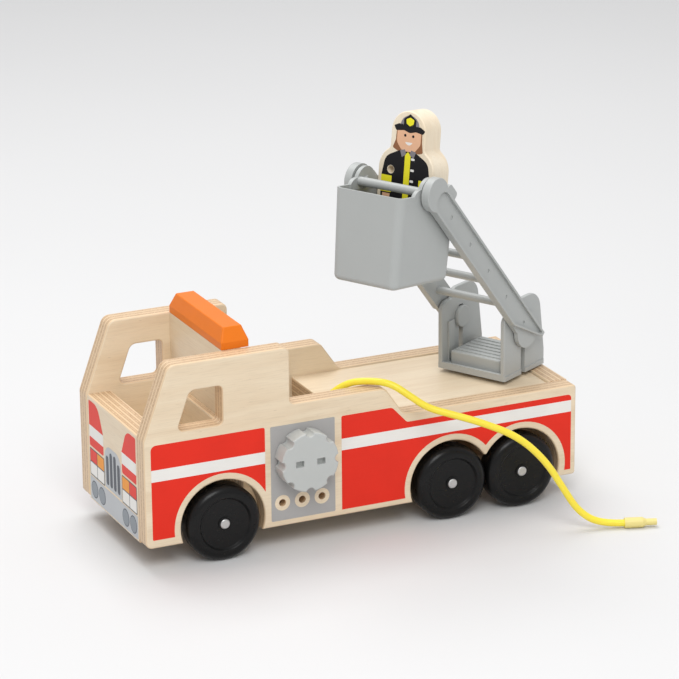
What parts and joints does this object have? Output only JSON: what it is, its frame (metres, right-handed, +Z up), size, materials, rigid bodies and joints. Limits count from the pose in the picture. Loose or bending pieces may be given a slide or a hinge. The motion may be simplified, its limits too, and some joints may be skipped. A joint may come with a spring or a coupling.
{
  "type": "toy fire engine",
  "caption": "Wooden toy fire engine with rolling wheels, a swivelling lifting ladder, a hanging bucket with a removable figure, and a crank-wound hose reel.",
  "frame": {"origin": "centre of the engine's own box, without its hose and nozzle, on the floor under the wheels", "axes": "+X points forward to the cab's nose, +Y to the engine's left, +Z up"},
  "size_m": [0.3105, 0.1855, 0.2607],
  "materials": {
    "plywood": "satin lacquer over birch plywood",
    "maple": "satin lacquer over solid maple",
    "orange_paint": "orange satin paint on wood",
    "black_plastic": "glossy moulded plastic",
    "grey_plastic": "fine satin moulded plastic",
    "axle_steel": "cut and tumbled steel rod",
    "hose_vinyl": "soft yellow vinyl",
    "nozzle_plastic": "pale yellow moulded plastic",
    "red_print": "silk-screened red paint on plywood",
    "grey_print": "silk-screened grey paint on plywood",
    "white_print": "silk-screened white paint on plywood",
    "dark_print": "silk-screened black paint on wood",
    "yellow_print": "silk-screened yellow paint on wood",
    "skin_print": "silk-screened paint on wood"
  },
  "bodies": {
    "root": {"left_side_panel": "plywood", "right_side_panel": "plywood", "front_board": "plywood", "cab_floor": "plywood", "cab_partition": "plywood", "cab_back_board": "plywood", "light_bar": "orange_paint", "deck_board": "plywood", "tail_board": "plywood", "floor_board": "plywood", "front_axle_block": "plywood", "rear_axle_block": "plywood", "panel_dowels": "maple", "turntable_disc": "grey_plastic", "turret_bolt": "axle_steel", "turret_nut": "axle_steel", "hose": "hose_vinyl", "nozzle": "nozzle_plastic"},
    "front_wheels": {"front_axle": "axle_steel", "front_left_wheel": "black_plastic", "front_right_wheel": "black_plastic"},
    "middle_wheels": {"middle_axle": "axle_steel", "middle_left_wheel": "black_plastic", "middle_right_wheel": "black_plastic"},
    "rear_wheels": {"rear_axle": "axle_steel", "rear_left_wheel": "black_plastic", "rear_right_wheel": "black_plastic"},
    "reel": {"reel_shaft": "grey_plastic", "reel_drum": "grey_plastic", "reel_right_flange": "grey_plastic", "reel_left_flange": "grey_plastic", "wound_hose": "hose_vinyl", "crank_gear": "grey_plastic", "reel_end_cap": "grey_plastic"},
    "turret": {"turret_base": "grey_plastic", "turret_step": "grey_plastic"},
    "ladder": {"ladder_left_rail": "grey_plastic", "ladder_right_rail": "grey_plastic", "ladder_rungs": "grey_plastic", "ladder_pivot_pins": "grey_plastic", "bucket_pins": "grey_plastic", "bucket_pin_knob": "grey_plastic"},
    "bucket": {"bucket": "grey_plastic", "bucket_bar": "grey_plastic"},
    "rider": {"rider": "maple"}
  },
  "joints": [
    {"name": "front_axle_spin", "type": "hinge", "parent": "root", "child": "front_wheels", "pos_m": [0.0951, -0.0123, 0.02375], "axis": [0, 1, 0], "continuous": true},
    {"name": "middle_axle_spin", "type": "hinge", "parent": "root", "child": "middle_wheels", "pos_m": [-0.0575, -0.0123, 0.02375], "axis": [0, 1, 0], "continuous": true},
    {"name": "rear_axle_spin", "type": "hinge", "parent": "root", "child": "rear_wheels", "pos_m": [-0.1059, -0.0123, 0.02375], "axis": [0, 1, 0], "continuous": true},
    {"name": "reel_spin", "type": "hinge", "parent": "root", "child": "reel", "pos_m": [0.0424, -0.0123, 0.0573], "axis": [0, 1, 0], "continuous": true},
    {"name": "ladder_swivel", "type": "hinge", "parent": "root", "child": "turret", "pos_m": [-0.1135, -0.0123, 0.0755], "axis": [0, 0, 1], "continuous": true},
    {"name": "ladder_lift", "type": "hinge", "parent": "turret", "child": "ladder", "pos_m": [-0.11123, -0.01104, 0.1049], "axis": [0.4848, -0.8746, 0], "range_deg": [-22, 32]},
    {"name": "bucket_swing", "type": "hinge", "parent": "ladder", "child": "bucket", "pos_m": [-0.02216, 0.03833, 0.21721], "axis": [0.4848, -0.8746, 0], "range_deg": [-30, 40]},
    {"name": "rider_lift", "type": "slide", "parent": "bucket", "child": "rider", "axis": [-0.1111, -0.0616, 0.9919], "range_m": [0, 0.06]}
  ]
}
